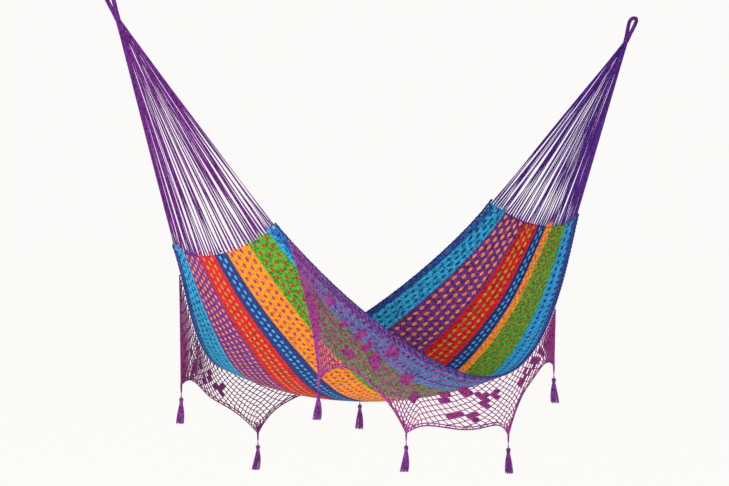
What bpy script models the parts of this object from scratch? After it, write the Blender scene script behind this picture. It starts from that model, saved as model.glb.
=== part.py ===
"""Rope hammock of the fringed, net-woven kind, hung by its two eyes.

Frame: the origin is halfway between the two points where the eyes bear on
their hooks. +X runs along that hang line to the right eye, +Y to the far long
edge and +Z up. Everything is in metres.
"""

import math

import bmesh
import bpy
from mathutils import Vector

# Hanging and eyes
HANG_SPAN = 2.92            # between the two bearing points
EYE_LENGTH = 0.103          # bearing point to the start of the fan of cords
EYE_LEAN = math.radians(61) # how steeply the eyes point down, from level
EYE_HALF_WIDTH = 0.0165     # middle of a leg to the middle of the eye
EYE_CORD_RADIUS = 0.0065
EYE_FLAT = 0.008            # straight stretch at the top of the eye
EYE_CUT = 0.028             # how far down the eye the swinging part begins
NECK_HALF_WIDTH = 0.0075    # middle of a leg to the middle, at the whipping

# Neck whipping, the wrapped sleeve that gathers the arm cords
WHIPPING_LENGTH = 0.028
WHIPPING_WALL = 0.0030
WHIPPING_CLEARANCE = 0.0006  # between the bundles' corners and the sleeve
WHIPPING_STEPS = 20

# Arms, the fans of cords between eye and bed
ARM_LENGTH = 0.90
ARM_NECK_WIDTH = 0.0016     # of one bundle
ARM_NECK_THICKNESS = 0.0080
ARM_END_THICKNESS = 0.0045
ARM_SECTIONS = 8

# Corners of the bed: slope of the arm's edge cord, and distance from the middle
CORNERS = {
    ("left", "near"): (math.radians(52.6), 0.229),
    ("left", "far"): (math.radians(60.2), 0.166),
    ("right", "near"): (math.radians(49.3), 0.218),
    ("right", "far"): (math.radians(42.9), 0.124),
}

# Bed: the two long edges sag and bow outwards between the corners
EDGES = {
    "near": {"sag": 0.578, "sag_power": 2.08, "bow": 0.279, "bow_power": 1.12, "shift": -0.038},
    "far": {"sag": 0.561, "sag_power": 2.18, "bow": 0.435, "bow_power": 1.30, "shift": -0.036},
}
END_BELLY = 0.065           # how far the cloth hangs below its edges, at the ends
MID_BELLY = 0.099           # and at mid length
BELLY_POWER = 2.3
BELLY_SHAPE = 2.07
BELLY_TILT = 0.54           # share of the belly that is square to the slope
BED_THICKNESS = 0.006
BED_STEPS = 30
PANELS = (                  # from the far edge to the near edge: name, share, colour
    ("cyan", 0.145, "2FA6CF"),
    ("purple", 0.176, "6E3A86"),
    ("red", 0.139, "D8202A"),
    ("navy", 0.102, "22336E"),
    ("orange", 0.136, "F7931E"),
    ("green", 0.169, "59A63A"),
    ("blue", 0.133, "1F8FC0"),
)

# Where the panels' edges lie along the bed, at these u, as shares of its width. The
# nominal shares hold in the middle, and the cloth is drawn to and fro beside it. Between
# two rows of this table the edges ease from the one to the other.
PANEL_PLACES = (
    (-1.00, (0, 0.123, 0.288, 0.451, 0.572, 0.770, 0.940, 1)),
    (-0.62, (0, 0.148, 0.342, 0.487, 0.596, 0.745, 0.895, 1)),
    (-0.25, None),
    (0.02, None),
    (0.30, (0, 0.130, 0.372, 0.545, 0.634, 0.684, 0.864, 1)),
    (0.70, (0, 0.130, 0.372, 0.545, 0.634, 0.684, 0.864, 1)),
    (1.00, (0, 0.139, 0.342, 0.494, 0.588, 0.658, 0.850, 1)),
)

SELVEDGE_RADIUS = 0.004
SELVEDGE_SIDES = 8

# Fringe: its points, each a place along the edge (-1 to 1) and a depth there,
# and the depth at the top of each arch between two points
FRINGE_POINTS = {
    "near": ((-0.84, 0.388), (-0.494, 0.315), (0.128, 0.224), (0.616, 0.198)),
    "far": ((-0.866, 0.372), (0.046, 0.250), (0.532, 0.288), (0.860, 0.290)),
}
FRINGE_ARCHES = {           # depth at the left and right of each arch, and how flat its top is
    "near": ((0.235, 0.235, 2.6), (0.245, 0.150, 5.0), (0.098, 0.090, 2.8)),
    "far": ((0.165, 0.105, 2.6), (0.165, 0.165, 3.0), (0.180, 0.180, 2.6)),
}
FRINGE_THICKNESS = 0.004
FRINGE_SIDE = 0.025         # share of the edge that each fringe end reaches past its point
FRINGE_STARTS = {           # the near fringe starts at the end of the bed and slopes down to its first point
    "near": ((-0.945, 0.012), (-0.919, 0.059), (-0.8925, 0.128), (-0.866, 0.215), (-0.8505, 0.289)),
}
ARCH_STEPS = 16

# Tassels
KNOT_RADIUS = 0.003
TASSEL_CORD_RADIUS = 0.0015
TASSEL_CORD_LENGTH = 0.036
TASSEL_HEAD_RADIUS = 0.0080
TASSEL_HEAD_HEIGHT = 0.017
TASSEL_SKIRT_RADIUS = 0.0150
TASSEL_SKIRT_LENGTH = 0.076
TASSEL_SIDES = 12

GAP = 0.0005                # between pieces that touch
PANEL_GAP = 0.0012          # between two woven panels, and between two bundles at the bed
NECK_GAP = 0.0005           # between two bundles at the neck

SIDES = {"left": -1, "right": 1}
EDGE_SIDES = {"near": -1, "far": 1}
PURPLE = "7A2F8F"
MAGENTA = "A03C90"
NAVY = "1F2F66"


# ---------------------------------------------------------------- helpers

def clear_scene():
    for obj in list(bpy.data.objects):
        bpy.data.objects.remove(obj, do_unlink=True)


def linear(channel):
    """One sRGB channel, 0 to 255, as a linear value."""
    value = channel / 255
    if value <= 0.04045:
        return value / 12.92
    return ((value + 0.055) / 1.055) ** 2.4


def cotton(name, colour, roughness=0.85):
    """A matt dyed-cotton material."""
    material = bpy.data.materials.get(name)
    if material:
        return material
    material = bpy.data.materials.new(name)
    material.use_nodes = True
    shader = material.node_tree.nodes["Principled BSDF"]
    channels = [linear(int(colour[i:i + 2], 16)) for i in (0, 2, 4)]
    shader.inputs["Base Color"].default_value = (*channels, 1)
    shader.inputs["Roughness"].default_value = roughness
    shader.inputs["Metallic"].default_value = 0
    return material


def add_object(name, bm, material, location=(0, 0, 0), smooth=False):
    """Turns a bmesh into a finished object whose faces point out."""
    bmesh.ops.recalc_face_normals(bm, faces=bm.faces)
    mesh = bpy.data.meshes.new(name)
    bm.to_mesh(mesh)
    bm.free()
    if smooth:
        mesh.shade_smooth()
    mesh.materials.append(material)
    obj = bpy.data.objects.new(name, mesh)
    obj.location = location
    bpy.context.scene.collection.objects.link(obj)
    return obj


def lofted(sections):
    """A bmesh through closed loops of points, capped at both ends."""
    bm = bmesh.new()
    loops = [[bm.verts.new(point) for point in section] for section in sections]
    count = len(loops[0])
    for one, other in zip(loops, loops[1:]):
        for i in range(count):
            k = (i + 1) % count
            bm.faces.new((one[i], one[k], other[k], other[i]))
    bm.faces.new(loops[0])
    bm.faces.new(loops[-1])
    return bm


def ribbon_section(tops, bottoms):
    """One loop of a flat strip: along its top and back along its bottom."""
    return list(tops) + list(reversed(bottoms))


def turned(profile):
    """A bmesh turned about Z from (radius, height) pairs that start and end on the axis."""
    bm = bmesh.new()
    verts = [bm.verts.new((radius, 0, height)) for radius, height in profile]
    edges = [bm.edges.new(pair) for pair in zip(verts, verts[1:])]
    bmesh.ops.spin(
        bm, geom=verts + edges, axis=(0, 0, 1), cent=(0, 0, 0),
        angle=math.tau, steps=TASSEL_SIDES, use_merge=True,
    )
    bmesh.ops.remove_doubles(bm, verts=bm.verts, dist=0.00001)
    return bm


# ---------------------------------------------------------------- eyes and necks

def eye_axes(side):
    """The bearing point, the way down the eye, and the way across its thickness."""
    sign = SIDES[side]
    bearing = Vector((sign * HANG_SPAN / 2, 0, 0))
    down = Vector((-sign * math.cos(EYE_LEAN), 0, -math.sin(EYE_LEAN)))
    across = down.cross(Vector((0, 1, 0)))
    return bearing, down, across


def neck(side):
    bearing, down, _ = eye_axes(side)
    return bearing + down * EYE_LENGTH


def eye_path():
    """(distance down the eye, distance from its middle) from the top to the end of one leg."""
    top = -EYE_CORD_RADIUS * math.cos(math.pi / 8)
    end = EYE_LENGTH - WHIPPING_LENGTH - GAP
    path = []
    for i in range(7):
        turn = math.pi / 2 * i / 6
        path.append((
            top + EYE_HALF_WIDTH * (1 - math.cos(turn)),
            EYE_FLAT / 2 + (EYE_HALF_WIDTH - EYE_FLAT / 2) * math.sin(turn),
        ))
    start = path[-1][0]
    for i in range(1, 7):
        share = i / 6
        ease = (1 - math.cos(math.pi * share)) / 2
        path.append((
            start + (end - start) * share,
            EYE_HALF_WIDTH + (NECK_HALF_WIDTH - EYE_HALF_WIDTH) * ease,
        ))
    return path


def eye_tube(side, path):
    """The eye's round cord along (down, width) points, with a flat facing the hook."""
    bearing, down, across = eye_axes(side)
    wide = Vector((0, 1, 0))
    points = [bearing + down * s + wide * w for s, w in path]
    sections = []
    for i, point in enumerate(points):
        before = (point - points[i - 1]).normalized() if i else None
        after = (points[i + 1] - point).normalized() if i + 1 < len(points) else None
        tangent = ((before or after) + (after or before)).normalized()
        inward = tangent.cross(across).normalized()
        ring = []
        for k in range(8):
            angle = math.tau * (k + 0.5) / 8
            ring.append(point + EYE_CORD_RADIUS * (inward * math.cos(angle) + across * math.sin(angle)))
        sections.append(ring)
    return lofted(sections)


def keep_side(bm, x, outer):
    """Cuts the bmesh at x and keeps what is farther out, or what is nearer the middle."""
    sign = 1 if x > 0 else -1
    bmesh.ops.bisect_plane(
        bm, geom=bm.verts[:] + bm.edges[:] + bm.faces[:], dist=0.000001,
        plane_co=(x, 0, 0), plane_no=(sign, 0, 0), clear_outer=not outer, clear_inner=outer,
    )
    bmesh.ops.holes_fill(bm, edges=[edge for edge in bm.edges if edge.is_boundary], sides=0)
    return bm


def add_eye(side, material):
    """The bight that stays on the hook, and the two legs that swing below it."""
    bearing, down, _ = eye_axes(side)
    cut = (bearing + down * EYE_CUT).x
    leg = eye_path()
    whole = [(s, -w) for s, w in reversed(leg)] + leg
    add_object(f"{side}_eye_bight", keep_side(eye_tube(side, whole), cut, True), material)
    inner_cut = cut - SIDES[side] * GAP
    for edge, sign in EDGE_SIDES.items():
        path = [(s, sign * w) for s, w in leg]
        bm = keep_side(eye_tube(side, path), inner_cut, False)
        add_object(f"{side}_eye_leg_{edge}", bm, material)


def stack_half_width():
    return (len(PANELS) * ARM_NECK_WIDTH + (len(PANELS) - 1) * NECK_GAP) / 2


def add_whipping(side, material):
    """An oval sleeve around the gathered bundles."""
    bearing, down, across = eye_axes(side)
    around = math.sqrt(2) / math.cos(math.pi / WHIPPING_STEPS)  # an oval through the stack's corners
    inner = (
        stack_half_width() * around + WHIPPING_CLEARANCE,
        ARM_NECK_THICKNESS / 2 * around + WHIPPING_CLEARANCE,
    )
    outer = (inner[0] + WHIPPING_WALL, inner[1] + WHIPPING_WALL)
    ends = (EYE_LENGTH - WHIPPING_LENGTH, EYE_LENGTH)
    bm = bmesh.new()
    loops = []
    for radii, along in ((outer, ends[0]), (outer, ends[1]), (inner, ends[1]), (inner, ends[0])):
        middle = bearing + down * along
        loop = []
        for k in range(WHIPPING_STEPS):
            angle = math.tau * k / WHIPPING_STEPS
            offset = Vector((0, 1, 0)) * radii[0] * math.cos(angle) + across * radii[1] * math.sin(angle)
            loop.append(bm.verts.new(middle + offset))
        loops.append(loop)
    for one, other in zip(loops, loops[1:] + loops[:1]):
        for i in range(WHIPPING_STEPS):
            k = (i + 1) % WHIPPING_STEPS
            bm.faces.new((one[i], one[k], other[k], other[i]))
    add_object(f"{side}_neck_whipping", bm, material)


# ---------------------------------------------------------------- bed surface

def corner(side, edge):
    """Where the arm's outermost cord meets the bed."""
    slope, offset = CORNERS[side, edge]
    reach = math.sqrt(ARM_LENGTH ** 2 - offset ** 2)
    return neck(side) + Vector((
        -SIDES[side] * math.cos(slope) * reach,
        EDGE_SIDES[edge] * offset,
        -math.sin(slope) * reach,
    ))


def edge_point(edge, u):
    """A point of a long edge, from the left end (u = -1) to the right end (u = 1)."""
    shape = EDGES[edge]
    share = (u + 1) / 2
    point = corner("left", edge).lerp(corner("right", edge), share)
    point.x += shape["shift"] * math.sin(math.pi * u)
    point.y += EDGE_SIDES[edge] * shape["bow"] * max(1 - u * u, 0) ** shape["bow_power"]
    point.z -= shape["sag"] * (1 - abs(u) ** shape["sag_power"])
    return point


def belly_direction(u):
    """Down, leaning towards square to the slope of the bed."""
    step = 0.01
    low, high = max(u - step, -1), min(u + step, 1)
    slope = (edge_point("near", high) + edge_point("far", high)
             - edge_point("near", low) - edge_point("far", low))
    square = Vector((slope.z, 0, -slope.x)).normalized()
    return (Vector((0, 0, -1)) * (1 - BELLY_TILT) + square * BELLY_TILT).normalized()


def bed_point(u, share):
    """A point of the bed: share runs from 0 at the far edge to 1 at the near edge."""
    v = 2 * share - 1
    belly = END_BELLY + (MID_BELLY - END_BELLY) * (1 - abs(u) ** BELLY_POWER)
    flat = edge_point("far", u).lerp(edge_point("near", u), share)
    return flat + belly_direction(u) * belly * (1 - abs(v) ** BELLY_SHAPE)


def bed_axes(u, share):
    """Unit vectors at a bed point: towards the near edge, and up out of the cloth."""
    step = 0.002
    low, high = max(share - step, 0), min(share + step, 1)
    across = (bed_point(u, high) - bed_point(u, low)).normalized()
    low, high = max(u - step, -1), min(u + step, 1)
    along = (bed_point(high, share) - bed_point(low, share)).normalized()
    return across, across.cross(along).normalized()


def bed_corners(u, share, inset, thickness):
    """The upper and lower points of the cloth there, moved by inset towards the near edge."""
    across, up = bed_axes(u, share)
    point = bed_point(u, share) + across * inset
    return point + up * thickness / 2, point - up * thickness / 2


def panel_shares():
    """Where each panel starts and ends, as shares of the width from the far edge."""
    total = sum(share for _, share, _ in PANELS)
    start = 0
    spans = []
    for name, share, colour in PANELS:
        spans.append((name, colour, start / total, (start + share) / total))
        start += share
    return spans


def ease(x):
    x = min(max(x, 0), 1)
    return x * x * (3 - 2 * x)


def drawn_place(share, u):
    """Where a share of the width lies at u, once the panels are drawn to and fro."""
    edges = [low for _, _, low, _ in panel_shares()] + [1]
    for (start, before), (end, after) in zip(PANEL_PLACES, PANEL_PLACES[1:]):
        if u <= end:
            break
    weight = ease((u - start) / (end - start))
    moved = [a + (b - a) * weight for a, b in zip(before or edges, after or edges)]
    for low, high, new_low, new_high in zip(edges, edges[1:], moved, moved[1:]):
        if share <= high + 1e-9:
            return new_low + (new_high - new_low) * (share - low) / (high - low)
    return share


def strip(u, low, high, thickness):
    """The loop of a panel's cross-section at u."""
    low, high = drawn_place(low, u), drawn_place(high, u)
    pairs = [
        bed_corners(u, low, PANEL_GAP / 2, thickness),
        bed_corners(u, (low + high) / 2, 0, thickness),
        bed_corners(u, high, -PANEL_GAP / 2, thickness),
    ]
    return ribbon_section([top for top, _ in pairs], [bottom for _, bottom in pairs])


def add_panel(name, colour, low, high):
    places = [-1 + 2 * i / BED_STEPS for i in range(BED_STEPS + 1)]
    sections = [strip(u, low, high, BED_THICKNESS) for u in places]
    add_object(f"{name}_panel", lofted(sections), cotton(f"{name}_cotton", colour), smooth=True)


def add_arm_bundle(side, index, name, low, high, material):
    """One panel's cords, from inside the neck whipping to the end of the bed."""
    bearing, down, across = eye_axes(side)
    pitch = ARM_NECK_WIDTH + NECK_GAP
    far_edge = stack_half_width() - index * pitch
    widths = (far_edge, far_edge - ARM_NECK_WIDTH / 2, far_edge - ARM_NECK_WIDTH)

    def neck_section(along):
        middle = bearing + down * along
        half = across * ARM_NECK_THICKNESS / 2 * -SIDES[side]
        tops = [middle + Vector((0, width, 0)) + half for width in widths]
        bottoms = [middle + Vector((0, width, 0)) - half for width in widths]
        return ribbon_section(tops, bottoms)

    first = neck_section(EYE_LENGTH - WHIPPING_LENGTH + GAP)
    second = neck_section(EYE_LENGTH)
    last = [
        point + (neck(side) - point).normalized() * GAP * 2
        for point in strip(SIDES[side], low, high, ARM_END_THICKNESS)
    ]
    sections = [first]
    for i in range(ARM_SECTIONS + 1):
        share = i / ARM_SECTIONS
        sections.append([a.lerp(b, share) for a, b in zip(second, last)])
    add_object(f"{side}_arm_cords_{name}", lofted(sections), material)


# ---------------------------------------------------------------- selvedges and fringe

def selvedge_point(edge, u):
    """The middle of the edge cord, just outside the cloth."""
    step = 0.002
    _, up = bed_axes(u, 0 if edge == "far" else 1)
    along = edge_point(edge, min(u + step, 1)) - edge_point(edge, max(u - step, -1))
    outward = along.cross(up).normalized() * -EDGE_SIDES[edge]
    return edge_point(edge, u) + outward * (SELVEDGE_RADIUS + GAP)


def add_selvedge(edge, material):
    """The edge cord, a curve with a round bevel and filled ends."""
    curve = bpy.data.curves.new(f"{edge}_selvedge", "CURVE")
    curve.dimensions = "3D"
    curve.bevel_depth = SELVEDGE_RADIUS
    curve.bevel_resolution = SELVEDGE_SIDES // 4
    curve.use_fill_caps = True
    spline = curve.splines.new("POLY")
    spline.points.add(BED_STEPS)
    for i, point in enumerate(spline.points):
        point.co = (*selvedge_point(edge, -1 + 2 * i / BED_STEPS), 1)
    curve.materials.append(material)
    obj = bpy.data.objects.new(f"{edge}_selvedge", curve)
    bpy.context.scene.collection.objects.link(obj)


def outward_direction(edge, u):
    """Level, square to the edge cord and away from the bed."""
    step = 0.01
    run = selvedge_point(edge, min(u + step, 1)) - selvedge_point(edge, max(u - step, -1))
    return Vector((-run.y, run.x, 0)).normalized() * EDGE_SIDES[edge]


def fringe_top(edge, u):
    """The fringe's middle line where it meets the outer side of the selvedge."""
    offset = SELVEDGE_RADIUS + GAP + FRINGE_THICKNESS / 2
    return selvedge_point(edge, u) + outward_direction(edge, u) * offset


def fringe_places(edge):
    """(place along the edge, depth) from one end of the fringe to the other."""
    points = FRINGE_POINTS[edge]
    places = list(FRINGE_STARTS.get(edge, [(points[0][0] - FRINGE_SIDE, points[0][1] * 0.96)]))
    for (here, depth), (there, next_depth), (left, right, flatness) in zip(points, points[1:], FRINGE_ARCHES[edge]):
        for i in range(ARCH_STEPS):
            share = i / ARCH_STEPS
            point_depth = depth if share < 0.5 else next_depth
            rise = abs(2 * share - 1) ** flatness
            arch = left + (right - left) * share
            places.append((here + (there - here) * share, arch + (point_depth - arch) * rise))
    places.append(points[-1])
    places.append((points[-1][0] + FRINGE_SIDE, points[-1][1] * 0.96))
    return places


def add_fringe(edge, material):
    """The netted curtain that hangs straight down from the selvedge."""
    sections = []
    for u, depth in fringe_places(edge):
        top = fringe_top(edge, u)
        bottom = top - Vector((0, 0, depth))
        half = outward_direction(edge, u) * FRINGE_THICKNESS / 2
        sections.append([top + half, top - half, bottom - half, bottom + half])
    add_object(f"{edge}_fringe", lofted(sections), material)


# ---------------------------------------------------------------- tassels

def add_tassel(edge, number, u, depth, cord_material, head_material):
    """A knotted cord under a fringe point, and the tassel that hangs on it."""
    tag = f"{edge}_tassel"
    hinge = fringe_top(edge, u) - Vector((0, 0, depth + KNOT_RADIUS + 2 * GAP))
    low = -TASSEL_CORD_LENGTH
    knot = [(KNOT_RADIUS * math.sin(math.pi * i / 8), KNOT_RADIUS * math.cos(math.pi * i / 8)) for i in range(7)]
    knot[0] = (0, KNOT_RADIUS)
    end = [(radius, low - height) for radius, height in reversed(knot)]
    profile = knot + [(TASSEL_CORD_RADIUS, -2 * KNOT_RADIUS), (TASSEL_CORD_RADIUS, low + 2 * KNOT_RADIUS)] + end
    add_object(f"{tag}_cord_{number}", turned(profile), cord_material, hinge)

    pivot = hinge + Vector((0, 0, low))
    top = -KNOT_RADIUS - 2 * GAP
    base = top - TASSEL_HEAD_HEIGHT
    head = [(0, top), (TASSEL_HEAD_RADIUS * 0.45, top)]
    for i in range(1, 6):
        angle = math.pi * (i / 6)
        head.append((
            TASSEL_HEAD_RADIUS * (0.45 + 0.55 * math.sin(angle)),
            top - TASSEL_HEAD_HEIGHT * (1 - math.cos(angle)) / 2,
        ))
    head += [(TASSEL_HEAD_RADIUS * 0.45, base), (0, base)]
    add_object(f"{tag}_head_{number}", turned(head), head_material, pivot)

    skirt_top = base - GAP
    skirt_base = skirt_top - TASSEL_SKIRT_LENGTH
    skirt = [
        (0, skirt_top),
        (TASSEL_HEAD_RADIUS * 0.6, skirt_top),
        (TASSEL_HEAD_RADIUS, skirt_top - TASSEL_SKIRT_LENGTH * 0.2),
        (TASSEL_SKIRT_RADIUS, skirt_base),
        (0, skirt_base),
    ]
    add_object(f"{tag}_skirt_{number}", turned(skirt), head_material, pivot)


# ---------------------------------------------------------------- assembly

def main():
    clear_scene()
    cord = cotton("arm_cotton", PURPLE)
    wrap = cotton("eye_cotton", "5B2374")
    net = cotton("fringe_cotton", MAGENTA)
    hem = cotton("selvedge_cotton", NAVY)
    tuft = cotton("tassel_cotton", "7E3F96")
    for side in SIDES:
        add_eye(side, wrap)
        add_whipping(side, wrap)
        for index, (name, _, low, high) in enumerate(panel_shares()):
            add_arm_bundle(side, index, name, low, high, cord)
    for name, colour, low, high in panel_shares():
        add_panel(name, colour, low, high)
    for edge in EDGE_SIDES:
        add_selvedge(edge, hem)
        add_fringe(edge, net)
        for number, (u, depth) in enumerate(FRINGE_POINTS[edge], 1):
            add_tassel(edge, number, u, depth, net, tuft)


main()
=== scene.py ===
import math
import random

import bmesh
import bpy
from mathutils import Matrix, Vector


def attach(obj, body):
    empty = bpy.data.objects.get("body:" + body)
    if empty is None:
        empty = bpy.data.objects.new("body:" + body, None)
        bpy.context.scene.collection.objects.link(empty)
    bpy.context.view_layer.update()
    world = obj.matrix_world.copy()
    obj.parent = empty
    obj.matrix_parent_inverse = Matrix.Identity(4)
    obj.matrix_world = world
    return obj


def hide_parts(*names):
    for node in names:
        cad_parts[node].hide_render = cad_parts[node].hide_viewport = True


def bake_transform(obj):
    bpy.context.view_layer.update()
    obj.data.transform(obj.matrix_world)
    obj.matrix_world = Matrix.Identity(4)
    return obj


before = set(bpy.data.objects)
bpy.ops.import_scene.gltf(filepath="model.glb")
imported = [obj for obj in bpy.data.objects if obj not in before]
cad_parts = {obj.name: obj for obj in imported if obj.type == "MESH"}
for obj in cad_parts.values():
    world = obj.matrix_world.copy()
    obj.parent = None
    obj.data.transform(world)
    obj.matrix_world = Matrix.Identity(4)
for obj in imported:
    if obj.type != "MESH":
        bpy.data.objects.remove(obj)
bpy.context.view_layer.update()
random.seed(20)
print("frame loaded:", len(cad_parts), "nodes")

sides = {"left": -1, "right": 1}
edgeSides = {"near": -1, "far": 1}
down = Vector((0, 0, -1))
wide = Vector((0, 1, 0))


# shape of the hammock, the same numbers as the CAD

hang = {
    "span": 2.92,               # between the bearing points of the eyes
    "eyeLength": 0.103,         # bearing point to the start of the fan of cords
    "eyeLean": math.radians(61),
    "armLength": 0.90,
    "corners": {                # slope and offset of each outermost cord
        ("left", "near"): (math.radians(52.6), 0.229),
        ("left", "far"): (math.radians(60.2), 0.166),
        ("right", "near"): (math.radians(49.3), 0.218),
        ("right", "far"): (math.radians(42.9), 0.124),
    },
}

bed = {
    "near": {"sag": 0.578, "sagPower": 2.08, "bow": 0.279, "bowPower": 1.12, "shift": -0.038},
    "far": {"sag": 0.561, "sagPower": 2.18, "bow": 0.435, "bowPower": 1.30, "shift": -0.036},
    "endBelly": 0.065,          # how far the cloth hangs below its edges
    "midBelly": 0.099,
    "bellyPower": 2.3,
    "bellyShape": 2.07,
    "bellyTilt": 0.54,
    "selvedgeRadius": 0.004,
    "gap": 0.0005,
    "flatWidth": 1.11,          # the whole bed at its widest, shared out between the panels
    "flatLength": 2.25,
    "areaShare": 0.86,          # chosen, not measured: an open net closes up where its ends gather
}


def eyeAxes(side):
    sign = sides[side]
    bearing = Vector((sign * hang["span"] / 2, 0, 0))
    lean = Vector((-sign * math.cos(hang["eyeLean"]), 0, -math.sin(hang["eyeLean"])))
    return bearing, lean, lean.cross(wide)


def corner(side, edge):
    slope, offset = hang["corners"][side, edge]
    bearing, lean, _ = eyeAxes(side)
    reach = math.sqrt(hang["armLength"] ** 2 - offset ** 2)
    inward = -sides[side] * math.cos(slope) * reach
    away = Vector((inward, edgeSides[edge] * offset, -math.sin(slope) * reach))
    return bearing + lean * hang["eyeLength"] + away


corners = {key: corner(*key) for key in hang["corners"]}


def edgePoint(edge, u):
    shape = bed[edge]
    point = corners["left", edge].lerp(corners["right", edge], (u + 1) / 2)
    point.x += shape["shift"] * math.sin(math.pi * u)
    point.y += edgeSides[edge] * shape["bow"] * max(1 - u * u, 0) ** shape["bowPower"]
    point.z -= shape["sag"] * (1 - abs(u) ** shape["sagPower"])
    return point


def bellyDirection(u):
    low, high = max(u - 0.01, -1), min(u + 0.01, 1)
    slope = edgePoint("near", high) + edgePoint("far", high) - edgePoint("near", low) - edgePoint("far", low)
    square = Vector((slope.z, 0, -slope.x)).normalized()
    return (down * (1 - bed["bellyTilt"]) + square * bed["bellyTilt"]).normalized()


def bedRow(u):
    far = edgePoint("far", u)
    belly = bed["endBelly"] + (bed["midBelly"] - bed["endBelly"]) * (1 - abs(u) ** bed["bellyPower"])
    return far, edgePoint("near", u) - far, bellyDirection(u) * belly


def onRow(row, share):
    far, across, belly = row
    return far + across * share + belly * (1 - abs(2 * share - 1) ** bed["bellyShape"])


def bedPoint(u, share):
    return onRow(bedRow(u), share)


def bedUp(u, share):
    across = bedPoint(u, min(share + 0.002, 1)) - bedPoint(u, max(share - 0.002, 0))
    along = bedPoint(min(u + 0.002, 1), share) - bedPoint(max(u - 0.002, -1), share)
    return across.cross(along).normalized()


def rowWidth(row):
    points = [onRow(row, i / 10) for i in range(11)]
    return sum((b - a).length for a, b in zip(points, points[1:]))


def ease(x):
    x = min(max(x, 0), 1)
    return x * x * (3 - 2 * x)


drawn = {                       # where the panels' edges lie along the bed, as shares of its width
    "flat": (0, 0.145, 0.321, 0.460, 0.562, 0.698, 0.867, 1),
    "places": (
        (-1.00, (0, 0.123, 0.288, 0.451, 0.572, 0.770, 0.940, 1)),
        (-0.62, (0, 0.148, 0.342, 0.487, 0.596, 0.745, 0.895, 1)),
        (-0.25, None),
        (0.02, None),
        (0.30, (0, 0.130, 0.372, 0.545, 0.634, 0.684, 0.864, 1)),
        (0.70, (0, 0.130, 0.372, 0.545, 0.634, 0.684, 0.864, 1)),
        (1.00, (0, 0.139, 0.342, 0.494, 0.588, 0.658, 0.850, 1)),
    ),
}


def drawnEdges(u):
    for (start, before), (end, after) in zip(drawn["places"], drawn["places"][1:]):
        if u <= end:
            break
    weight = ease((u - start) / (end - start))
    return [a + (b - a) * weight for a, b in zip(before or drawn["flat"], after or drawn["flat"])]


def drawnPlace(share, moved):
    edges = drawn["flat"]
    for low, high, newLow, newHigh in zip(edges, edges[1:], moved, moved[1:]):
        if share <= high + 1e-9:
            return newLow + (newHigh - newLow) * (share - low) / (high - low)
    return share


# materials

def linear(colour):
    channels = [int(colour[i:i + 2], 16) / 255 for i in (0, 2, 4)]
    return (*[c / 12.92 if c <= 0.04045 else ((c + 0.055) / 1.055) ** 2.4 for c in channels], 1)


def addNode(material, kind, inputs=(), **settings):
    tree = material.node_tree
    node = tree.nodes.new("ShaderNode" + kind)
    for name, value in settings.items():
        setattr(node, name, value)
    for socket, value in dict(inputs).items():
        if isinstance(value, bpy.types.NodeSocket):
            tree.links.new(value, node.inputs[socket])
        else:
            node.inputs[socket].default_value = value
    return node


def newMaterial(name, roughness):
    material = bpy.data.materials.new(name)
    material.use_nodes = True
    shader = material.node_tree.nodes["Principled BSDF"]
    shader.inputs["Roughness"].default_value = roughness
    return material, shader


yarn = {
    "sinePeriod": 0.62832,      # Wave scale that gives one band in one unit
    "fuzz": 1 / 0.0022,         # stray fibres about 2 mm apart
    "dye": 1 / 0.011,           # worn and fluffy patches about 11 mm apart
    "groove": 0.0005,           # depth of the groove between two plies
    "paintedGrooveShade": 0.45,         # how far the grooves change the colour, as painted shade between the plies; the worn patches add to it
    "unevenness": 4.2,
    "unevenMiddle": -1.92,
    "roughness": 0.82,
    "sheen": 0.05,
    "specular": 0.18,
}


# Spun, dyed cotton: matt and a little furry, with plies that wind round the cord. The grooves between the
# plies are painted darker, as painted shade.
def spunCotton(name, colour, shade, turns, plies=2, contrast=1.0):
    material, shader = newMaterial(name, yarn["roughness"])
    place = addNode(material, "TexCoord")
    stretched = addNode(material, "Mapping", {"Vector": place.outputs["UV"], "Scale": (turns, plies, 1)})
    ply = addNode(material, "TexWave", {"Vector": stretched.outputs[0], "Scale": yarn["sinePeriod"]},
                  wave_type="BANDS", bands_direction="DIAGONAL")
    overall = place.outputs["Object"]
    fuzz = addNode(material, "TexNoise", {"Vector": overall, "Scale": yarn["fuzz"], "Detail": 2.0})
    dye = addNode(material, "TexNoise", {"Vector": overall, "Scale": yarn["dye"], "Detail": 3.0})
    height = addNode(material, "Math", {0: ply.outputs["Fac"], 1: fuzz.outputs["Fac"]}, operation="ADD")
    patches = {0: dye.outputs["Fac"], 1: yarn["unevenness"] * contrast, 2: yarn["unevenMiddle"] * contrast}
    uneven = addNode(material, "Math", patches, operation="MULTIPLY_ADD")
    # painted shade: the grooves between the plies pull the colour towards the shade colour; the worn patches
    # are the yarn's own uneven dye
    grooves = {0: height.outputs[0], 1: yarn["paintedGrooveShade"] * contrast, 2: uneven.outputs[0]}
    grooveShadeAndDye = addNode(material, "Math", grooves, operation="MULTIPLY_ADD")
    tint = addNode(material, "Mix", {0: grooveShadeAndDye.outputs[0], 6: linear(shade), 7: linear(colour)},
                   data_type="RGBA", clamp_factor=True)
    relief = {"Strength": 0.6, "Distance": yarn["groove"], "Height": height.outputs[0]}
    bump = addNode(material, "Bump", relief)
    material.node_tree.links.new(tint.outputs[2], shader.inputs["Base Color"])
    material.node_tree.links.new(bump.outputs[0], shader.inputs["Normal"])
    shader.inputs["Sheen Weight"].default_value = yarn["sheen"]
    shader.inputs["Specular IOR Level"].default_value = yarn["specular"]
    return material


ground = {"thread": 0.0024, "thickness": 0.0012, "end": 0.984, "roughness": 0.85}
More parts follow.
